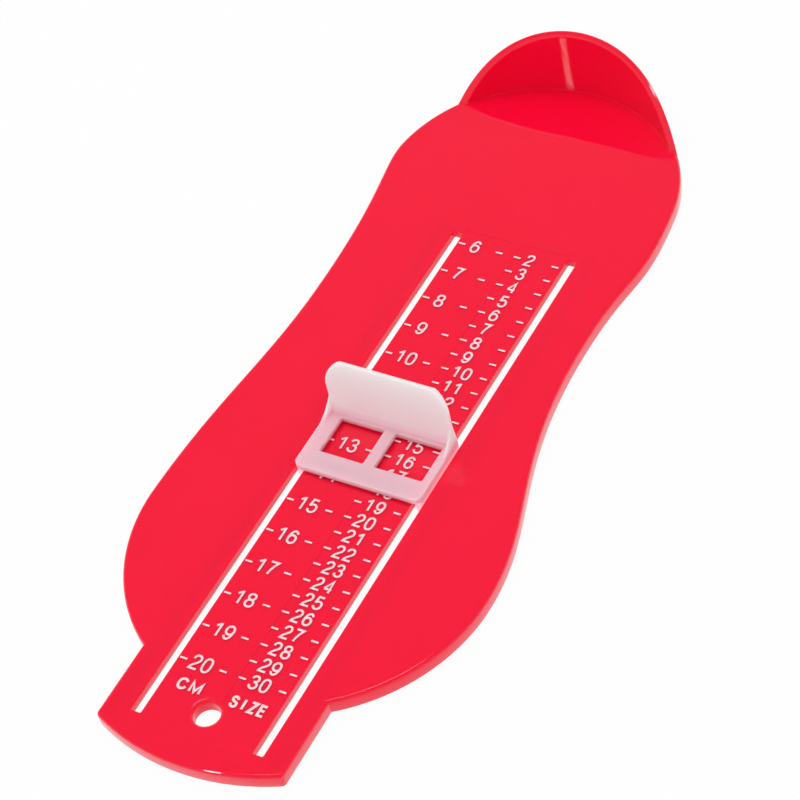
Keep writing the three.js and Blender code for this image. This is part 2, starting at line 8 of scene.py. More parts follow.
import bmesh
import bpy
from mathutils import Euler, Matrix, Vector


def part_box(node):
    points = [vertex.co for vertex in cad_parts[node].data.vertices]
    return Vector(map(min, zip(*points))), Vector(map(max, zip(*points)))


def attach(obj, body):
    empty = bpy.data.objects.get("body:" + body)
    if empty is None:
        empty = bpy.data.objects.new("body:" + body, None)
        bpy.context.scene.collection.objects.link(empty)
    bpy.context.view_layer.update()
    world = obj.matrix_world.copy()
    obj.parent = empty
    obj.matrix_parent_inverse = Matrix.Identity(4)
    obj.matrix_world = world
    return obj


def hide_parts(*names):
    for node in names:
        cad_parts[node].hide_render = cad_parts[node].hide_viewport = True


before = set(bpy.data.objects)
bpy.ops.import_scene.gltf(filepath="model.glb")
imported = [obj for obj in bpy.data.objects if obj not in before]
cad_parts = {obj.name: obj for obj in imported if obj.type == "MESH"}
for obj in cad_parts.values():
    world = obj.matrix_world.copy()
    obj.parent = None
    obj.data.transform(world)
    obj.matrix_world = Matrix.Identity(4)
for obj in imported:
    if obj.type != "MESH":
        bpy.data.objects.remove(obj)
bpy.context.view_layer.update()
MM = 0.001

# The camera stands high at the toe end, to the right, with a long lens. It was found from
# the marks of the scale in the photograph.
LENS = 123.5
SENSOR = 36.0
CAMERA_PLACE = (0.28688, -0.35687, 0.49408)
CAMERA_TURN = (42.106, 9.913, 28.304)
CAMERA_SHIFT = (-0.0019, -0.0005)

scene = bpy.context.scene
scene.view_settings.view_transform = "Standard"
camera_data = bpy.data.cameras.new("camera")
camera_data.lens = LENS
camera_data.sensor_width = SENSOR
camera_data.shift_x, camera_data.shift_y = CAMERA_SHIFT
camera_data.clip_start = 0.01
camera = bpy.data.objects.new("camera", camera_data)
camera.location = CAMERA_PLACE
camera.rotation_euler = Euler([math.radians(angle) for angle in CAMERA_TURN])
scene.collection.objects.link(camera)
scene.camera = camera

# The studio: a white floor that shines a little, as a light table does, an even white sky
# that gloss sees greyer overhead, one soft lamp above, and one small lamp beyond the toe end
# that only shows in gloss, where it draws the bright streak inside the heel stop.
SKY_LEVEL = 0.83
# Between these two heights of the view direction the sky falls to this level, in gloss only.
GREY_SKY = {"from": 0.3, "to": 0.6, "level": 0.43}
FLOOR_GLOW = 0.95
FLOOR_COLOUR = (0.86, 0.86, 0.86, 1)
FLOOR_LIGHT = 0.8
SOFT_LAMP = {"place": (-0.35, 0.3, 1.65), "size": 0.5, "watts": 5.6}
SMALL_LAMP = {"place": (-0.2985, -0.877, 0.8106), "size": (0.08, 0.1), "watts": 12.0}


def white_ray(nodes, links):
    """One for rays that should see plain white: from the camera, in gloss and through glass."""
    path = nodes.new("ShaderNodeLightPath")
    white = path.outputs["Is Camera Ray"]
    for kind in ("Is Glossy Ray", "Is Transmission Ray"):
        either = nodes.new("ShaderNodeMath")
        either.operation = "MAXIMUM"
        links.new(white, either.inputs[0])
        links.new(path.outputs[kind], either.inputs[1])
        white = either.outputs[0]
    return white


world = bpy.data.worlds.new("white_sky")
scene.world = world
world.use_nodes = True
sky = world.node_tree.nodes
sky_links = world.node_tree.links
sky_level = sky.new("ShaderNodeMapRange")
sky_level.inputs["To Min"].default_value = SKY_LEVEL
sky_level.inputs["To Max"].default_value = 1.0
sky_links.new(white_ray(sky, sky_links), sky_level.inputs["Value"])
sky_way = sky.new("ShaderNodeTexCoord")
sky_split = sky.new("ShaderNodeSeparateXYZ")
sky_links.new(sky_way.outputs["Generated"], sky_split.inputs[0])
sky_fall = sky.new("ShaderNodeMapRange")
sky_fall.inputs["From Min"].default_value = GREY_SKY["from"]
sky_fall.inputs["From Max"].default_value = GREY_SKY["to"]
sky_fall.inputs["To Max"].default_value = 1 - GREY_SKY["level"]
sky_links.new(sky_split.outputs["Z"], sky_fall.inputs["Value"])
sky_path = sky.new("ShaderNodeLightPath")
sky_loss = sky.new("ShaderNodeMath")
sky_loss.operation = "MULTIPLY"
sky_links.new(sky_fall.outputs["Result"], sky_loss.inputs[0])
sky_links.new(sky_path.outputs["Is Glossy Ray"], sky_loss.inputs[1])
sky_left = sky.new("ShaderNodeMath")
sky_left.operation = "SUBTRACT"
sky_links.new(sky_level.outputs["Result"], sky_left.inputs[0])
sky_links.new(sky_loss.outputs[0], sky_left.inputs[1])
sky["Background"].inputs["Color"].default_value = (1, 1, 1, 1)
sky_links.new(sky_left.outputs[0], sky["Background"].inputs["Strength"])

floor_material = bpy.data.materials.new("white_floor")
floor_material.use_nodes = True
floor_nodes = floor_material.node_tree.nodes
floor_links = floor_material.node_tree.links
floor_nodes.remove(floor_nodes["Principled BSDF"])
matt = floor_nodes.new("ShaderNodeBsdfDiffuse")
matt.inputs["Color"].default_value = FLOOR_COLOUR
glow = floor_nodes.new("ShaderNodeEmission")
glow_share = floor_nodes.new("ShaderNodeMapRange")
glow_share.inputs["To Min"].default_value = FLOOR_LIGHT
glow_share.inputs["To Max"].default_value = FLOOR_GLOW
floor_links.new(white_ray(floor_nodes, floor_links), glow_share.inputs["Value"])
floor_mix = floor_nodes.new("ShaderNodeMixShader")
floor_links.new(glow_share.outputs["Result"], floor_mix.inputs["Fac"])
floor_links.new(matt.outputs[0], floor_mix.inputs[1])
floor_links.new(glow.outputs[0], floor_mix.inputs[2])
floor_links.new(floor_mix.outputs[0], floor_nodes["Material Output"].inputs["Surface"])

bpy.ops.mesh.primitive_circle_add(vertices=96, radius=4.0, fill_type="NGON")
floor = bpy.context.object
floor.name = "floor"
floor.data.materials.append(floor_material)


def aim(lamp, spot):
    """Stands a lamp at a spot and turns it to the origin."""
    lamp.location = spot
    lamp.rotation_euler = (-Vector(spot)).to_track_quat("-Z", "Y").to_euler()
    scene.collection.objects.link(lamp)


soft_data = bpy.data.lights.new("soft_lamp", "AREA")
soft_data.size = SOFT_LAMP["size"]
soft_data.energy = SOFT_LAMP["watts"]
aim(bpy.data.objects.new("soft_lamp", soft_data), SOFT_LAMP["place"])

small_data = bpy.data.lights.new("small_lamp", "AREA")
small_data.shape = "RECTANGLE"
small_data.size, small_data.size_y = SMALL_LAMP["size"]
small_data.energy = SMALL_LAMP["watts"]
small_lamp = bpy.data.objects.new("small_lamp", small_data)
small_lamp.visible_diffuse = False
aim(small_lamp, SMALL_LAMP["place"])

# The plate is one injection moulding in glossy red plastic: a thin foot-shaped top with a
# rounded edge, a rim turned down all round, the heel stop rising from the rim's outer face,
# two slots, a hanging hole and two ribs underneath. It lies loose on its rim.
PLATE_THICK = 2.1
RIM_DEPTH = 4.0
RIM_WALL = 1.8
EDGE_ROUND = 0.8
FOOT_ROUND = 0.3
LENGTH = 229.4
HEEL_X, HEEL_Y, HEEL_RADIUS = -6.9, -36.6, 40.3
HEEL_ARC_END = math.radians(7.5)
LEFT_WAIST = {"x": -42.6, "y": -85.9, "heel": 9.1, "up": 35.8, "down": 27.6}
RIGHT_WAIST = {"x": 31.5, "y": -81.5, "heel": 27.0, "up": 27.5, "down": 40.7}
TAIL_END_Y = HEEL_Y + HEEL_RADIUS - LENGTH
BALL_FROM_TAIL, SLOT_FROM_TAIL, HOLE_FROM_TAIL = 66.7, 8.9, 14.4
BALL_Y, BALL_LEFT, BALL_RIGHT, BALL_RADIUS = TAIL_END_Y + BALL_FROM_TAIL, -47.7, 45.1, 48.0
LEFT_BALL_PULL, RIGHT_BALL_PULL = 32.0, 25.2
TAIL_LEFT, TAIL_RIGHT = -24.9, 24.4
TAIL_ARC_X, TAIL_ARC_RADIUS = -1.2, 58.3
TAIL_CORNER_ROUND = 0.9
HEEL_WALL, HEEL_DRAFT, HEEL_INNER_DRAFT = 1.8, 0.025, 0.022
HEEL_EDGE_Y, HEEL_EDGE_SLOPE, HEEL_EDGE_BEND = -12.6, 1.735, 0.029
HEEL_RIM_OUTER, HEEL_RIM_INNER = 0.5, 0.6
HEEL_FILLET = 0.1
HEEL_BLEND = 0.4
# The edge widens to the heel wall while the wall's own top edge climbs between these heights.
WALL_STARTS, WALL_FULL = -3.0, -1.0
SLOT_X, SLOT_WIDTH = 16.35, 2.7
SLOT_HEEL_END = -56.4
SLOT_TAIL_END = TAIL_END_Y + SLOT_FROM_TAIL
SLOT_CORNER, SLOT_EDGE = 0.35, 0.2
HOLE_X, HOLE_Y = -0.5, TAIL_END_Y + HOLE_FROM_TAIL
HOLE_RADIUS, HOLE_LEAD_IN = 3.25, 0.9
COLLAR_WALL, COLLAR_DROP = 1.3, 3.4
RIB_THICK, RIB_DROP, RIB_FROM_SLOT, RIB_OVERRUN, RIB_EDGE = 1.2, 1.2, 3.0, 2.0, 0.3
OUTLINE_STEP = 0.9
HEEL_STEP = 0.4
HOLE_STEP = 0.3
COLLAR_STEP = HOLE_STEP * (HOLE_RADIUS + COLLAR_WALL) / HOLE_RADIUS
SUPPORT = 0.3
PROFILE_STEPS = 16
ROUND_STEPS = 5
FLAT = 0.0

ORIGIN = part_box("base_plate")[0] - Vector((BALL_LEFT, TAIL_END_Y, -RIM_DEPTH)) * MM


def place(x, y, z):
    """A point of the CAD source's own frame as metres in the row frame."""
    return ORIGIN + Vector((x, y, z)) * MM


def arc(centre, radius, start, end, step):
    """Points on an arc, without its last one."""
    count = max(2, round(abs(end - start) * radius / step))
    angles = [start + (end - start) * i / count for i in range(count)]
    return [
        Vector((centre[0] + radius * math.cos(a), centre[1] + radius * math.sin(a))) for a in angles
    ]


def curve(ends, step):
    """Points on a Bezier curve of any degree, without its last one."""
    handles = [Vector(end) for end in ends]
    length = sum((b - a).length for a, b in zip(handles, handles[1:]))
    count = max(2, round(length / step))
    points = []
    for i in range(count):
        level = handles
        while len(level) > 1:
            level = [a.lerp(b, i / count) for a, b in zip(level, level[1:])]
        points.append(level[0])
    return points


def outline(corner_round):
    """The foot-shaped outline, anticlockwise from the left corner of the tail's end."""
    tail_centre = Vector((TAIL_ARC_X, TAIL_END_Y + TAIL_ARC_RADIUS))
    down, turn = -math.pi / 2, corner_round / TAIL_ARC_RADIUS
    left_turn = math.asin((TAIL_LEFT - TAIL_ARC_X) / TAIL_ARC_RADIUS)
    right_turn = math.asin((TAIL_RIGHT - TAIL_ARC_X) / TAIL_ARC_RADIUS)
    left_corner = Vector((TAIL_LEFT, tail_centre.y - TAIL_ARC_RADIUS * math.cos(left_turn)))
    right_corner = Vector((TAIL_RIGHT, tail_centre.y - TAIL_ARC_RADIUS * math.cos(right_turn)))
    up = Vector((0, corner_round))
    right_ball = (BALL_RIGHT - BALL_RADIUS, BALL_Y)
    left_ball = (BALL_LEFT + BALL_RADIUS, BALL_Y)
    right_neck = math.acos((TAIL_RIGHT - right_ball[0]) / BALL_RADIUS)
    left_neck = math.acos((left_ball[0] - TAIL_LEFT) / BALL_RADIUS)
    cos, sin = math.cos(HEEL_ARC_END), math.sin(HEEL_ARC_END)
    heel_y = HEEL_Y + HEEL_RADIUS * sin
    right_heel, left_heel = HEEL_X + HEEL_RADIUS * cos, HEEL_X - HEEL_RADIUS * cos
    left, right = LEFT_WAIST, RIGHT_WAIST
    start, end = down + left_turn + turn, down + right_turn - turn
    tail = arc(tail_centre, TAIL_ARC_RADIUS, start, end, OUTLINE_STEP)
    tail_end = tail_centre + TAIL_ARC_RADIUS * Vector((math.cos(end), math.sin(end)))
    points = tail + curve([tail_end, right_corner, right_corner + up], OUTLINE_STEP / 4)
    neck = (TAIL_RIGHT, BALL_Y - BALL_RADIUS * math.sin(right_neck))
    points += curve([right_corner + up, neck], OUTLINE_STEP)
    points += arc(right_ball, BALL_RADIUS, -right_neck, 0, OUTLINE_STEP)
    points += curve(
        [
            (BALL_RIGHT, BALL_Y),
            (BALL_RIGHT, BALL_Y + RIGHT_BALL_PULL),
            (right["x"], right["y"] - right["down"]),
            (right["x"], right["y"]),
        ],
        OUTLINE_STEP,
    )
    points += curve(
        [
            (right["x"], right["y"]),
            (right["x"], right["y"] + right["up"]),
            (right_heel + right["heel"] * sin, heel_y - right["heel"] * cos),
            (right_heel, heel_y),
        ],
        OUTLINE_STEP,
    )
    heel = (HEEL_X, HEEL_Y)
    points += arc(heel, HEEL_RADIUS, HEEL_ARC_END, math.pi - HEEL_ARC_END, HEEL_STEP)
    points += curve(
        [
            (left_heel, heel_y),
            (left_heel - left["heel"] * sin, heel_y - left["heel"] * cos),
            (left["x"], left["y"] + left["up"]),
            (left["x"], left["y"]),
        ],
        OUTLINE_STEP,
    )
    points += curve(
        [
            (left["x"], left["y"]),
            (left["x"], left["y"] - left["down"]),
            (BALL_LEFT, BALL_Y + LEFT_BALL_PULL),
            (BALL_LEFT, BALL_Y),
        ],
        OUTLINE_STEP,
    )
    points += arc(left_ball, BALL_RADIUS, math.pi, math.pi + left_neck, OUTLINE_STEP)
    neck = (TAIL_LEFT, BALL_Y - BALL_RADIUS * math.sin(left_neck))
    points += curve([neck, left_corner + up], OUTLINE_STEP)
    points += curve([left_corner + up, left_corner, tail[0]], OUTLINE_STEP / 4)
    return [p for p, before in zip(points, points[-1:] + points) if (p - before).length > 0.01]


def inward(points):
    """For each point of an anticlockwise loop, the step that moves its two sides in by one."""
    steps = []
    for i, point in enumerate(points):
        into = (point - points[i - 1]).normalized()
        out = (points[(i + 1) % len(points)] - point).normalized()
        side = Vector((-into.y - out.y, into.x + out.x)).normalized()
        steps.append(side / side.dot(Vector((-into.y, into.x))))
    return steps


def inset(points, distance):
    """The loop moved inwards, or outwards where the distance is negative."""
    return [p + step * distance for p, step in zip(points, inward(points))]


def heel_edge(y):
    """Height of the heel stop's top edge, which rises steeply and flattens."""
    run = y - HEEL_EDGE_Y
    return HEEL_EDGE_SLOPE * run - HEEL_EDGE_BEND * max(0, run) ** 2


def edge_section(point, step):
    """One section through the plate's edge, from the rim's foot up, over the edge or the
    heel stop's wall and down to the flat: pairs of distance inwards and height."""
    height = heel_edge(point.y)
    wall = min(1, max(0, (height - WALL_STARTS) / (WALL_FULL - WALL_STARTS)))
    lean = HEEL_DRAFT * max(0, height)
    reach = EDGE_ROUND + (HEEL_WALL - EDGE_ROUND) * wall
    rows = []
    for i in range(ROUND_STEPS):
        turn = math.pi / 2 * i / (ROUND_STEPS - 1)
        inset_by = FOOT_ROUND * (1 - math.sin(turn))
        rows.append((inset_by, FOOT_ROUND * (1 - math.cos(turn)) - RIM_DEPTH))
    rows.append((0, -EDGE_ROUND))
    for i in range(PROFILE_STEPS + 1):
        across = lean + (reach - lean) * (1 - math.cos(math.pi * i / PROFILE_STEPS)) / 2
        side = max(0, EDGE_ROUND - across)
        edge = math.sqrt(EDGE_ROUND**2 - side**2) - EDGE_ROUND
        outer = max(0, HEEL_RIM_OUTER - (across - lean))
        inner = max(0, HEEL_RIM_INNER - max(0, HEEL_WALL - across)) if wall == 1 else 0
        top = heel_edge(point.y + step.y * across)
        top += math.sqrt(HEEL_RIM_OUTER**2 - outer**2) - HEEL_RIM_OUTER
        top += math.sqrt(HEEL_RIM_INNER**2 - inner**2) - HEEL_RIM_INNER
        near = max(0, 1 - abs(top - edge) / HEEL_BLEND)
        rows.append((across, max(top, edge) + HEEL_BLEND / 4 * near**2))
    fillet = min(HEEL_FILLET, max(0, rows[-1][1] - FLAT))
    support = min(SUPPORT, max(0, rows[-1][1] - fillet) / 3)
    foot = reach + HEEL_INNER_DRAFT * max(0, rows[-1][1])
    rows.append((reach + HEEL_INNER_DRAFT * support, rows[-1][1] - support))
    rows.append((foot - HEEL_INNER_DRAFT * (fillet + support), fillet + support))
    for i in range(ROUND_STEPS + 1):
        turn = math.pi / 2 * i / ROUND_STEPS
        rows.append((foot + fillet * (1 - math.cos(turn)), fillet * (1 - math.sin(turn))))
    rows.append((foot + fillet + SUPPORT, FLAT))
    return rows


def add_loop(mesh, points, z):
    """New vertices along a loop, all at one height."""
    return [mesh.verts.new(place(p.x, p.y, z)) for p in points]


def skin(mesh, loops):
    """Quads between each loop and the next."""
    for near, far in zip(loops, loops[1:]):
        for i in range(len(near)):
            j = (i + 1) % len(near)
            mesh.faces.new((near[i], near[j], far[j], far[i]))


def cap(mesh, loops):
    """Fills the flat between an outer loop and the holes in it."""
    edges = []
    for loop in loops:
        for a, b in zip(loop, loop[1:] + loop[:1]):
            edges.append(mesh.edges.get((a, b)) or mesh.edges.new((a, b)))
    bmesh.ops.triangle_fill(mesh, edges=edges, use_beauty=True)


def finish_mesh(mesh, name, materials, sharp=35):
    """Turns a bmesh into a linked object, smooth where its faces meet gently."""
    data = bpy.data.meshes.new(name)
    mesh.to_mesh(data)
    mesh.free()
    for material in materials:
        data.materials.append(material)
    data.shade_smooth()
    data.set_sharp_from_angle(angle=math.radians(sharp))
    piece = bpy.data.objects.new(name, data)
    scene.collection.objects.link(piece)
    return piece


def cut_out(mesh, loop, edge, bottom):
    """The wall of an opening with an eased upper edge; returns its top and bottom loops."""
    rows = [add_loop(mesh, inset(loop, -edge - SUPPORT), FLAT)]
    for i in range(ROUND_STEPS + 1):
        turn = math.pi / 2 * i / ROUND_STEPS
        eased = inset(loop, -edge * (1 - math.sin(turn)))
        rows.append(add_loop(mesh, eased, edge * (math.cos(turn) - 1)))
    rows.append(add_loop(mesh, loop, bottom))
    skin(mesh, rows)
    return rows[0], rows[-1]


def slot_loop(x):
    """The outline of the slot at x: a long box with rounded corners."""
    half = SLOT_WIDTH / 2 - SLOT_CORNER
    centres = [
        (x + half, SLOT_HEEL_END - SLOT_CORNER),
        (x - half, SLOT_HEEL_END - SLOT_CORNER),
        (x - half, SLOT_TAIL_END + SLOT_CORNER),
        (x + half, SLOT_TAIL_END + SLOT_CORNER),
    ]
    points = []
    for i, centre in enumerate(centres):
        start = math.pi / 2 * i
        turns = [start + math.pi / 2 * k / ROUND_STEPS for k in range(ROUND_STEPS + 1)]
        points += [Vector(centre) + SLOT_CORNER * Vector((math.cos(t), math.sin(t))) for t in turns]
    return points


def rib(mesh, side):
    """The stiffening rib beside a slot, standing down from the underside."""
    near = SLOT_X + SLOT_WIDTH / 2 + RIB_FROM_SLOT
    far = near + RIB_THICK
    tail, heel = SLOT_TAIL_END - RIB_OVERRUN, SLOT_HEEL_END + RIB_OVERRUN
    corners = [(near, tail), (far, tail), (far, heel), (near, heel)]
    loop = [Vector((side * x, y)) for x, y in corners]
    if side < 0:
        loop.reverse()
    low = -PLATE_THICK - RIB_DROP
    rows = [
        add_loop(mesh, loop, -PLATE_THICK / 2),
        add_loop(mesh, loop, low + RIB_EDGE),
        add_loop(mesh, inset(loop, RIB_EDGE / 3), low + RIB_EDGE / 3),
        add_loop(mesh, inset(loop, RIB_EDGE), low),
    ]
    skin(mesh, rows)
    mesh.faces.new(rows[0])
    mesh.faces.new(rows[-1])


plate_mesh = bmesh.new()
edge_points = outline(TAIL_CORNER_ROUND)
edge_steps = inward(edge_points)
sections = [edge_section(p, s) for p, s in zip(edge_points, edge_steps)]
edge_rows = []
for k in range(len(sections[0])):
    row = []
    for p, s, section in zip(edge_points, edge_steps, sections):
        spot = p + s * section[k][0]
        row.append(plate_mesh.verts.new(place(spot.x, spot.y, section[k][1])))
    edge_rows.append(row)
skin(plate_mesh, edge_rows)

hollow = outline(0)
hollow_rows = [
    add_loop(plate_mesh, inset(hollow, RIM_WALL - FOOT_ROUND), -RIM_DEPTH),
    add_loop(plate_mesh, inset(hollow, RIM_WALL - FOOT_ROUND / 3), -RIM_DEPTH + FOOT_ROUND / 3),
    add_loop(plate_mesh, inset(hollow, RIM_WALL), -RIM_DEPTH + FOOT_ROUND),
    add_loop(plate_mesh, inset(hollow, RIM_WALL), -PLATE_THICK),
]
skin(plate_mesh, hollow_rows)
cap(plate_mesh, [edge_rows[0], hollow_rows[0]])

hole_loop = arc((HOLE_X, HOLE_Y), HOLE_RADIUS, 0, 2 * math.pi, HOLE_STEP)
openings = [cut_out(plate_mesh, slot_loop(x), SLOT_EDGE, -PLATE_THICK) for x in (-SLOT_X, SLOT_X)]
hole_top, hole_foot = cut_out(plate_mesh, hole_loop, HOLE_LEAD_IN, -COLLAR_DROP)
collar_loop = arc((HOLE_X, HOLE_Y), HOLE_RADIUS + COLLAR_WALL, 0, 2 * math.pi, COLLAR_STEP)
collar_rows = [hole_foot, add_loop(plate_mesh, collar_loop, -COLLAR_DROP)]
collar_rows.append(add_loop(plate_mesh, collar_loop, -PLATE_THICK))
skin(plate_mesh, collar_rows)
openings.append((hole_top, collar_rows[-1]))
cap(plate_mesh, [edge_rows[-1]] + [top for top, bottom in openings])
cap(plate_mesh, [hollow_rows[-1]] + [bottom for top, bottom in openings])
bmesh.ops.remove_doubles(plate_mesh, verts=plate_mesh.verts, dist=1e-6)
bmesh.ops.recalc_face_normals(plate_mesh, faces=plate_mesh.faces)
for side in (-1, 1):
    rib(plate_mesh, side)
bmesh.ops.recalc_face_normals(plate_mesh, faces=plate_mesh.faces)


def new_group(name, inputs, outputs):
    """An empty shader group with its named inputs, each with a starting value, and outputs."""
    group = bpy.data.node_groups.new(name, "ShaderNodeTree")
    for socket, kind, value in inputs:
        made = group.interface.new_socket(name=socket, in_out="INPUT", socket_type=kind)
        made.default_value = value
    for socket, kind in outputs:
        group.interface.new_socket(name=socket, in_out="OUTPUT", socket_type=kind)
    return group, group.nodes.new("NodeGroupInput"), group.nodes.new("NodeGroupOutput")


def moulded_skin():
    """A normal that wavers slowly, as moulded plastic does where it shrank, with a fine grain
    on top of that. Lengths are in metres of the object."""
    group, given, result = new_group(
        "moulded_skin",
        [
            ("Wave Length", "NodeSocketFloat", 0.02),
            ("Wave Depth", "NodeSocketFloat", 0.00001),
            ("Grain Length", "NodeSocketFloat", 0.0005),
            ("Grain Depth", "NodeSocketFloat", 0.000001),
        ],
        [("Normal", "NodeSocketVector"), ("Waver", "NodeSocketFloat")],
    )
    nodes, links = group.nodes, group.links
    place_in = nodes.new("ShaderNodeTexCoord")
    normal = None
    for label in ("Wave", "Grain"):
        density = nodes.new("ShaderNodeMath")
        density.operation = "DIVIDE"
        density.inputs[0].default_value = 1.0
        links.new(given.outputs[label + " Length"], density.inputs[1])
        noise = nodes.new("ShaderNodeTexNoise")
        noise.inputs["Detail"].default_value = 2.0
        links.new(place_in.outputs["Object"], noise.inputs["Vector"])
        links.new(density.outputs[0], noise.inputs["Scale"])
        bump = nodes.new("ShaderNodeBump")
        links.new(given.outputs[label + " Depth"], bump.inputs["Distance"])
        links.new(noise.outputs["Fac"], bump.inputs["Height"])
        if normal:
            links.new(normal, bump.inputs["Normal"])
        else:
            links.new(noise.outputs["Fac"], result.inputs["Waver"])
        normal = bump.outputs["Normal"]
    links.new(normal, result.inputs["Normal"])
    return group


def bar_mask():
    """One inside a bar that lies square to x and y, fading out over its edge. In metres."""
    group, given, result = new_group(
        "bar_mask",
        [
            ("Centre X", "NodeSocketFloat", 0),
            ("Centre Y", "NodeSocketFloat", 0),
            ("Half X", "NodeSocketFloat", 0.01),
            ("Half Y", "NodeSocketFloat", 0.01),
            ("Edge", "NodeSocketFloat", 0.0001),
        ],
        [("Mask", "NodeSocketFloat")],
    )
    nodes, links = group.nodes, group.links
    place_in = nodes.new("ShaderNodeTexCoord")
    split = nodes.new("ShaderNodeSeparateXYZ")
    links.new(place_in.outputs["Object"], split.inputs[0])

    def math_node(operation, first, second=None):
        node = nodes.new("ShaderNodeMath")
        node.operation = operation
        links.new(first, node.inputs[0])
        if second:
            links.new(second, node.inputs[1])
        return node.outputs[0]

    past = []
    for axis in ("X", "Y"):
        apart = math_node("SUBTRACT", split.outputs[axis], given.outputs["Centre " + axis])
        apart = math_node("ABSOLUTE", apart)
        past.append(math_node("SUBTRACT", apart, given.outputs["Half " + axis]))
    fade = nodes.new("ShaderNodeMapRange")
    fade.interpolation_type = "SMOOTHSTEP"
    links.new(math_node("MAXIMUM", past[0], past[1]), fade.inputs["Value"])
    links.new(given.outputs["Edge"], fade.inputs["From Max"])
    fade.inputs["To Min"].default_value = 1.0
    fade.inputs["To Max"].default_value = 0.0
    links.new(fade.outputs["Result"], result.inputs["Mask"])
    return group


def add_skin(nodes, wave_length, wave_depth, grain_length, grain_depth):
    """A material's own use of the moulded skin, with its lengths and depths in millimetres."""
    node = nodes.new("ShaderNodeGroup")
    node.node_tree = skin_group
    node.inputs["Wave Length"].default_value = wave_length * MM
    node.inputs["Wave Depth"].default_value = wave_depth * MM
    node.inputs["Grain Length"].default_value = grain_length * MM
    node.inputs["Grain Depth"].default_value = grain_depth * MM
    return node


RED = (0.93, 0.0027, 0.042, 1)
RED_DEEP = (0.89, 0.0022, 0.037, 1)
RED_GROOVE = (0.82, 0.0018, 0.032, 1)
# Parting lines round the two mould inserts that shape the scale: middle x and y, then the
# half lengths along x and y.
PARTING_LINES = [
    (-7.75, -55.4, 6.65, 0.16),
    (8.65, -55.4, 6.25, 0.16),
    (1.57, -131.6, 0.12, 75.9),
]
PARTING_EDGE = 0.12
PARTING_DEPTH = 0.01
# The gloss grows from the least level to the full one while what plain glass would mirror
# grows between these two shares, so it rises faster than glass where it is seen at a slant.
GLASS_SHARES = (0.045, 0.12)
LEAST_GLOSS, FULL_GLOSS = 0.38, 1.0
skin_group = moulded_skin()
bar_group = bar_mask()
red_plastic = bpy.data.materials.new("red_plastic")
red_plastic.use_nodes = True
red_nodes, red_links = red_plastic.node_tree.nodes, red_plastic.node_tree.links
red_shader = red_nodes["Principled BSDF"]
red_skin = add_skin(
    red_nodes, wave_length=14, wave_depth=0.012, grain_length=0.35, grain_depth=0.0008
)
red_blend = red_nodes.new("ShaderNodeMix")
red_blend.data_type = "RGBA"
red_blend.inputs["A"].default_value = RED_DEEP
red_blend.inputs["B"].default_value = RED
red_links.new(red_skin.outputs["Waver"], red_blend.inputs["Factor"])
parting = None
for middle_x, middle_y, half_x, half_y in PARTING_LINES:
    bar = red_nodes.new("ShaderNodeGroup")
    bar.node_tree = bar_group
    middle = place(middle_x, middle_y, 0)
    bar.inputs["Centre X"].default_value = middle.x
    bar.inputs["Centre Y"].default_value = middle.y
    bar.inputs["Half X"].default_value = half_x * MM
    bar.inputs["Half Y"].default_value = half_y * MM
    bar.inputs["Edge"].default_value = PARTING_EDGE * MM
    if parting:
        both = red_nodes.new("ShaderNodeMath")
        both.operation = "MAXIMUM"
        red_links.new(parting, both.inputs[0])
        red_links.new(bar.outputs["Mask"], both.inputs[1])
        parting = both.outputs[0]
    else:
        parting = bar.outputs["Mask"]
groove_blend = red_nodes.new("ShaderNodeMix")
groove_blend.data_type = "RGBA"
red_links.new(parting, groove_blend.inputs["Factor"])
red_links.new(red_blend.outputs["Result"], groove_blend.inputs["A"])
groove_blend.inputs["B"].default_value = RED_GROOVE
groove = red_nodes.new("ShaderNodeBump")
groove.invert = True
groove.inputs["Distance"].default_value = PARTING_DEPTH * MM
red_links.new(parting, groove.inputs["Height"])
red_links.new(red_skin.outputs["Normal"], groove.inputs["Normal"])
red_links.new(groove_blend.outputs["Result"], red_shader.inputs["Base Color"])
red_links.new(groove.outputs["Normal"], red_shader.inputs["Normal"])
slant = red_nodes.new("ShaderNodeFresnel")
slant.inputs["IOR"].default_value = 1.5
gloss = red_nodes.new("ShaderNodeMapRange")
gloss.inputs["From Min"].default_value, gloss.inputs["From Max"].default_value = GLASS_SHARES
gloss.inputs["To Min"].default_value = LEAST_GLOSS
gloss.inputs["To Max"].default_value = FULL_GLOSS
red_links.new(slant.outputs[0], gloss.inputs["Value"])
red_links.new(gloss.outputs["Result"], red_shader.inputs["Specular IOR Level"])
red_shader.inputs["Roughness"].default_value = 0.035
red_shader.inputs["IOR"].default_value = 1.5
red_shader.inputs["Subsurface Weight"].default_value = 0.6
red_shader.inputs["Subsurface Radius"].default_value = (1.0, 0.1, 0.16)
red_shader.inputs["Subsurface Scale"].default_value = 1.6 * MM

plate = finish_mesh(plate_mesh, "gauge_plate", [red_plastic])
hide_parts("base_plate")
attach(plate, "plate")

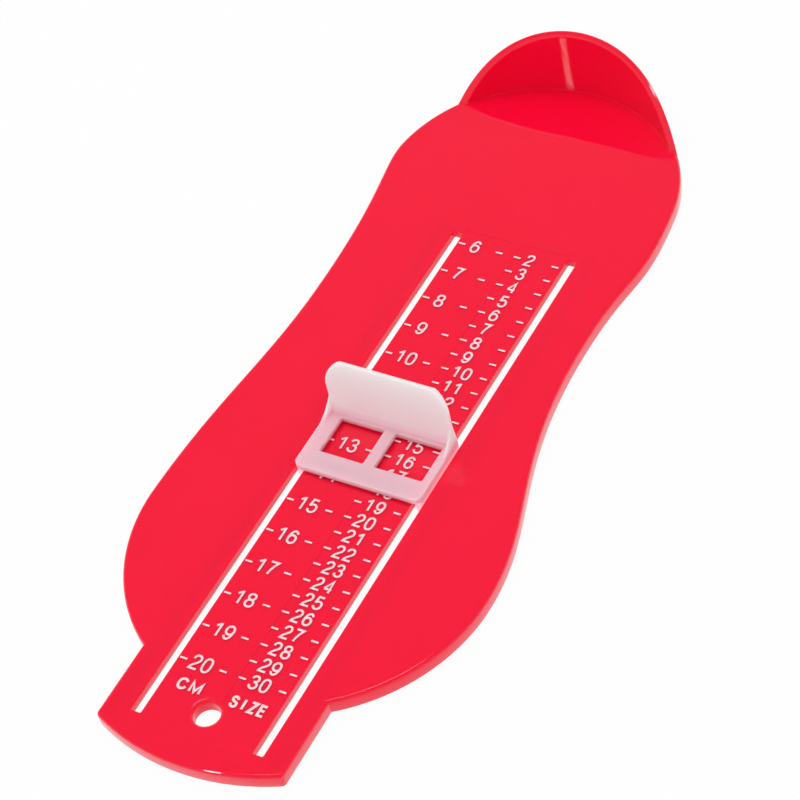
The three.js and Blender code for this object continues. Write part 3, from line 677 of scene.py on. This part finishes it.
# The scale stands up from the plate in the same moulding, and its flat tops are printed
# white by hot foil: centimetres on the left, sizes on the right, and a tick each side of
# every number.
RELIEF = 0.3
ROOT = 0.1
STROKE = 0.56
DRAFT = 0.05
TOP_EDGE = 0.07
TICK_THICK = 0.5
STROKE_STEPS = 7
CROSSING_DROP = 0.01
SHARPEST_MITRE = 0.45
CENTIMETRES = {
    "first": 6,
    "last": 20,
    "zero_y": 0,
    "step": 10,
    "tick_length": 1.9,
    "outer_tick": -14.3,
    "inner_tick": -3.6,
    "number_x": -11.3,
    "single_shift": 0.55,
    "digit_height": 4.3,
    "digit_pitch": 3.0,
}
SIZES = {
    "first": 2,
    "last": 30,
    "zero_y": -50,
    "step": 5,
    "tick_length": 1.9,
    "outer_tick": 12.35,
    "inner_tick": 1.6,
    "number_x": 4.55,
    "single_shift": 0.35,
    "digit_height": 4.0,
    "digit_pitch": 2.85,
}
LABEL_FROM_HOLE = 5.0
LABEL_Y = HOLE_Y + LABEL_FROM_HOLE
LABEL_HEIGHT = 3.4
LABEL_STROKE = 0.66
CM_LABEL = ("CM", -11.2, 3.4)
SIZE_LABEL = ("SIZE", 3.1, 2.45)

# Strokes on a field one unit high: a start, then straight pieces of two numbers or curves
# of six. A stroke that ends at its start is a ring.
FIGURES = {
    "0": [
        [
            (0.27, 1),
            (0.5, 1, 0.54, 0.76, 0.54, 0.5),
            (0.54, 0.24, 0.5, 0, 0.27, 0),
            (0.04, 0, 0, 0.24, 0, 0.5),
            (0, 0.76, 0.04, 1, 0.27, 1),
        ]
    ],
    "1": [[(0.34, 1), (0.34, 0)], [(0.06, 0.74), (0.33, 0.96)]],
    "2": [
        [
            (0.02, 0.72),
            (0.04, 1.1, 0.52, 1.09, 0.52, 0.74),
            (0.52, 0.46, 0.08, 0.36, 0, 0),
            (0.54, 0),
        ]
    ],
    "3": [
        [
            (0.02, 0.77),
            (0.06, 1.09, 0.49, 1.07, 0.49, 0.76),
            (0.49, 0.6, 0.36, 0.53, 0.2, 0.53),
        ],
        [
            (0.2, 0.53),
            (0.4, 0.53, 0.54, 0.44, 0.54, 0.28),
            (0.54, -0.1, 0.03, -0.09, 0, 0.24),
        ],
    ],
    "4": [[(0.42, 0), (0.42, 1), (0, 0.3)], [(0, 0.3), (0.56, 0.3)]],
    "5": [
        [(0.5, 1), (0.1, 1), (0.03, 0.46)],
        [
            (0.03, 0.5),
            (0.2, 0.72, 0.54, 0.66, 0.54, 0.33),
            (0.54, -0.1, 0.03, -0.1, 0, 0.22),
        ],
    ],
    "6": [
        [(0.51, 0.77), (0.44, 1.1, 0, 1.1, 0, 0.34)],
        [
            (0, 0.33),
            (0, -0.11, 0.54, -0.11, 0.54, 0.33),
            (0.54, 0.74, 0, 0.74, 0, 0.33),
        ],
    ],
    "7": [[(0, 1), (0.54, 1), (0.36, 0.76, 0.22, 0.4, 0.18, 0)]],
    "8": [
        [
            (0.27, 0.54),
            (-0.04, 0.54, -0.04, 1, 0.27, 1),
            (0.58, 1, 0.58, 0.54, 0.27, 0.54),
        ],
        [
            (0.27, 0.54),
            (-0.09, 0.54, -0.09, 0, 0.27, 0),
            (0.63, 0, 0.63, 0.54, 0.27, 0.54),
        ],
    ],
    "9": [
        [(0.03, 0.23), (0.1, -0.1, 0.54, -0.1, 0.54, 0.66)],
        [
            (0.54, 0.67),
            (0.54, 1.11, 0, 1.11, 0, 0.67),
            (0, 0.26, 0.54, 0.26, 0.54, 0.67),
        ],
    ],
    "C": [[(0.74, 0.74), (0.64, 1.09, 0, 1.14, 0, 0.5), (0, -0.14, 0.67, -0.09, 0.76, 0.29)]],
    "M": [[(0, 0), (0, 1), (0.46, 0.08), (0.92, 1), (0.92, 0)]],
    "S": [
        [
            (0.5, 0.75),
            (0.46, 1.08, 0.02, 1.08, 0.02, 0.77),
            (0.02, 0.42, 0.54, 0.62, 0.54, 0.26),
            (0.54, -0.09, 0.03, -0.09, 0, 0.27),
        ]
    ],
    "I": [[(0.27, 1), (0.27, 0)]],
    "Z": [[(0.02, 1), (0.52, 1), (0, 0), (0.54, 0)]],
    "E": [[(0.52, 1), (0.02, 1), (0.02, 0), (0.54, 0)], [(0.02, 0.52), (0.48, 0.52)]],
}


def stroke_points(stroke, x, y, height, width):
    """A stroke's middle line at its real size, with the figure's foot at (x, y)."""
    field = height - width
    points = [Vector((x + stroke[0][0] * field, y + width / 2 + stroke[0][1] * field))]
    for piece in stroke[1:]:
        spots = [
            Vector((x + u * field, y + width / 2 + v * field))
            for u, v in zip(piece[0::2], piece[1::2])
        ]
        if len(spots) == 3:
            step = sum((b - a).length for a, b in zip([points[-1]] + spots, spots)) / STROKE_STEPS
            points += curve([points[-1], *spots], step)[1:]
        points.append(spots[-1])
    return points


def raise_stroke(mesh, line, width, lift):
    """Raises a ridge along a line: drafted sides, an eased upper edge and a flat top."""
    closed = (line[0] - line[-1]).length < 1e-6
    line = line[:-1] if closed else line
    half = width / 2
    across = [
        (half + DRAFT, -ROOT),
        (half, RELIEF - TOP_EDGE),
        (half - TOP_EDGE / 3, RELIEF - TOP_EDGE / 3),
        (half - TOP_EDGE, RELIEF),
    ]
    across += [(-offset, z) for offset, z in reversed(across)]
    foiled = range(1, len(across) - 2)
    rows = []
    for i, point in enumerate(line):
        before = line[i - 1] if i or closed else None
        after = line[(i + 1) % len(line)] if i + 1 < len(line) or closed else None
        into = (point - before if before else after - point).normalized()
        out = (after - point if after else point - before).normalized()
        side = Vector((-into.y - out.y, into.x + out.x)).normalized()
        side /= max(SHARPEST_MITRE, side.dot(Vector((-into.y, into.x))))
        spots = [(point + side * offset, z) for offset, z in across]
        rows.append([mesh.verts.new(place(p.x, p.y, z + lift)) for p, z in spots])
    for i in range(len(rows) if closed else len(rows) - 1):
        near, far = rows[i], rows[(i + 1) % len(rows)]
        for k in range(len(across)):
            j = (k + 1) % len(across)
            face = mesh.faces.new((near[k], near[j], far[j], far[k]))
            face.material_index = int(k in foiled)
    if not closed:
        mesh.faces.new(rows[0])
        mesh.faces.new(rows[-1])


def figures(mesh, text, x, middle_y, height, pitch, width):
    """Raises a text's strokes. Each stroke of a letter stands a little lower than the last, so
    no two tops coincide where they cross."""
    foot = middle_y - height / 2
    for i, letter in enumerate(text):
        for k, stroke in enumerate(FIGURES[letter]):
            line = stroke_points(stroke, x + width / 2 + i * pitch, foot, height, width)
            raise_stroke(mesh, line, width, -CROSSING_DROP * k)


def scale_column(column, name, materials):
    """One column of the scale, as a piece for its numbers and a piece for its ticks."""
    numbers, ticks = bmesh.new(), bmesh.new()
    for n in range(column["first"], column["last"] + 1):
        y = column["zero_y"] - column["step"] * n
        for x in (column["outer_tick"], column["inner_tick"]):
            ends = [Vector((x, y)), Vector((x + column["tick_length"], y))]
            raise_stroke(ticks, ends, TICK_THICK, 0)
        shift = column["single_shift"] if n < 10 else 0
        x = column["number_x"] + shift
        figures(numbers, str(n), x, y, column["digit_height"], column["digit_pitch"], STROKE)
    relief(numbers, name + "_numbers", materials)
    relief(ticks, name + "_ticks", materials)


def relief(mesh, name, materials):
    """Finishes one piece of the raised scale, which moves with the plate."""
    bmesh.ops.recalc_face_normals(mesh, faces=mesh.faces)
    piece = finish_mesh(mesh, name, materials, sharp=40)
    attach(piece, "plate")


# The foil, and where it is thin, by how far its own skin wavers.
FOIL = (0.99, 0.72, 0.77, 1)
FOIL_THIN = (0.98, 0.54, 0.6, 1)
THIN_BELOW, FULL_ABOVE = 0.3, 0.5
scale_white = bpy.data.materials.new("scale_white")
scale_white.use_nodes = True
foil_nodes, foil_links = scale_white.node_tree.nodes, scale_white.node_tree.links
foil_shader = foil_nodes["Principled BSDF"]
foil_skin = add_skin(
    foil_nodes, wave_length=0.7, wave_depth=0.004, grain_length=0.12, grain_depth=0.0015
)
foil_blend = foil_nodes.new("ShaderNodeMix")
foil_blend.data_type = "RGBA"
foil_blend.inputs["A"].default_value = FOIL_THIN
foil_blend.inputs["B"].default_value = FOIL
foil_share = foil_nodes.new("ShaderNodeMapRange")
foil_share.inputs["From Min"].default_value = THIN_BELOW
foil_share.inputs["From Max"].default_value = FULL_ABOVE
foil_links.new(foil_skin.outputs["Waver"], foil_share.inputs["Value"])
foil_links.new(foil_share.outputs["Result"], foil_blend.inputs["Factor"])
foil_links.new(foil_blend.outputs["Result"], foil_shader.inputs["Base Color"])
foil_links.new(foil_skin.outputs["Normal"], foil_shader.inputs["Normal"])
foil_shader.inputs["Roughness"].default_value = 0.35

scale_column(CENTIMETRES, "centimetre", [red_plastic, scale_white])
scale_column(SIZES, "size", [red_plastic, scale_white])
labels = bmesh.new()
for word, label_x, label_pitch in (CM_LABEL, SIZE_LABEL):
    figures(labels, word, label_x, LABEL_Y, LABEL_HEIGHT, label_pitch, LABEL_STROKE)
relief(labels, "scale_labels", [red_plastic, scale_white])

# The slider is one moulding in frosted white plastic that light gets through: a flat frame
# with two windows over the scale, the curled toe stop, and cheeks that clip under the plate.
VOXEL = 0.2
EASING = 8
# The plastic lets some of the plate's red light through, and that light is painted into its
# colour: painted pink light, pinkest low down, with a lighter painted band just above the
# frame that lifts the shade at the toe stop's foot. Heights above the plate's top, each with
# its colour.
FROSTED_AND_PAINTED_RED_LIGHT = [
    (0.0, (0.87, 0.5, 0.57, 1)),
    (2.25, (0.88, 0.52, 0.59, 1)),
    (2.6, (0.97, 0.58, 0.65, 1)),
    (3.6, (0.96, 0.76, 0.81, 1)),
    (5.5, (0.88, 0.85, 0.87, 1)),
    (10.0, (0.85, 0.88, 0.9, 1)),
    (17.0, (0.8, 0.85, 0.86, 1)),
]
# In the slots the slider has a painted glow: emission below the plate's top that stands in for
# the light its upper part takes in, and lightens the shade in the slots.
PAINTED_GLOW = (0.5, 0.22, 0.28, 1)
GLOW_TOP, GLOW_FULL = 0.5, -0.2

slider_mesh = bmesh.new()
slider_mesh.from_mesh(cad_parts["slider"].data)
bmesh.ops.remove_doubles(slider_mesh, verts=slider_mesh.verts, dist=1e-6)

frosted_plastic = bpy.data.materials.new("frosted_plastic")
frosted_plastic.use_nodes = True
frosted_nodes, frosted_links = frosted_plastic.node_tree.nodes, frosted_plastic.node_tree.links
frosted_shader = frosted_nodes["Principled BSDF"]
frosted_skin = add_skin(
    frosted_nodes, wave_length=5, wave_depth=0.01, grain_length=0.25, grain_depth=0.004
)
spot_in = frosted_nodes.new("ShaderNodeTexCoord")
spot = frosted_nodes.new("ShaderNodeSeparateXYZ")
frosted_links.new(spot_in.outputs["Object"], spot.inputs[0])
rise = frosted_nodes.new("ShaderNodeMapRange")
rise.inputs["From Min"].default_value = place(0, 0, FROSTED_AND_PAINTED_RED_LIGHT[0][0]).z
rise.inputs["From Max"].default_value = place(0, 0, FROSTED_AND_PAINTED_RED_LIGHT[-1][0]).z
frosted_links.new(spot.outputs["Z"], rise.inputs["Value"])
# Painted light: the base colour follows height, painted pink from the plate's red light low down.
frosted_and_painted_light = frosted_nodes.new("ShaderNodeValToRGB")
for z, colour in FROSTED_AND_PAINTED_RED_LIGHT[1:-1]:
    frosted_and_painted_light.color_ramp.elements.new(z / FROSTED_AND_PAINTED_RED_LIGHT[-1][0])
for stop, (z, colour) in zip(frosted_and_painted_light.color_ramp.elements, FROSTED_AND_PAINTED_RED_LIGHT):
    stop.color = colour
frosted_links.new(rise.outputs["Result"], frosted_and_painted_light.inputs["Fac"])
# Painted glow: emission that grows from the plate's top downwards, lighting the cheeks in the
# slots.
depth = frosted_nodes.new("ShaderNodeMapRange")
depth.inputs["From Min"].default_value = place(0, 0, GLOW_TOP).z
depth.inputs["From Max"].default_value = place(0, 0, GLOW_FULL).z
frosted_links.new(spot.outputs["Z"], depth.inputs["Value"])
painted_glow = frosted_nodes.new("ShaderNodeValToRGB")
painted_glow.color_ramp.elements[1].color = PAINTED_GLOW
frosted_links.new(depth.outputs["Result"], painted_glow.inputs["Fac"])
frosted_links.new(painted_glow.outputs["Color"], frosted_shader.inputs["Emission Color"])
frosted_shader.inputs["Emission Strength"].default_value = 1.0
frosted_links.new(frosted_and_painted_light.outputs["Color"], frosted_shader.inputs["Base Color"])
frosted_links.new(frosted_skin.outputs["Normal"], frosted_shader.inputs["Normal"])
frosted_shader.inputs["Roughness"].default_value = 0.35
frosted_shader.inputs["Specular IOR Level"].default_value = 0.2
frosted_shader.inputs["IOR"].default_value = 1.49
frosted_shader.inputs["Subsurface Weight"].default_value = 1.0
frosted_shader.inputs["Subsurface Radius"].default_value = (1.0, 0.9, 0.9)
frosted_shader.inputs["Subsurface Scale"].default_value = 4.0 * MM

slider = finish_mesh(slider_mesh, "toe_slider", [frosted_plastic], sharp=180)
remesh = slider.modifiers.new("even_mesh", "REMESH")
remesh.mode = "VOXEL"
remesh.voxel_size = VOXEL * MM
remesh.use_smooth_shade = True
easing = slider.modifiers.new("eased_edges", "SMOOTH")
easing.factor = 0.5
easing.iterations = EASING
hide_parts("slider")
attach(slider, "slide")
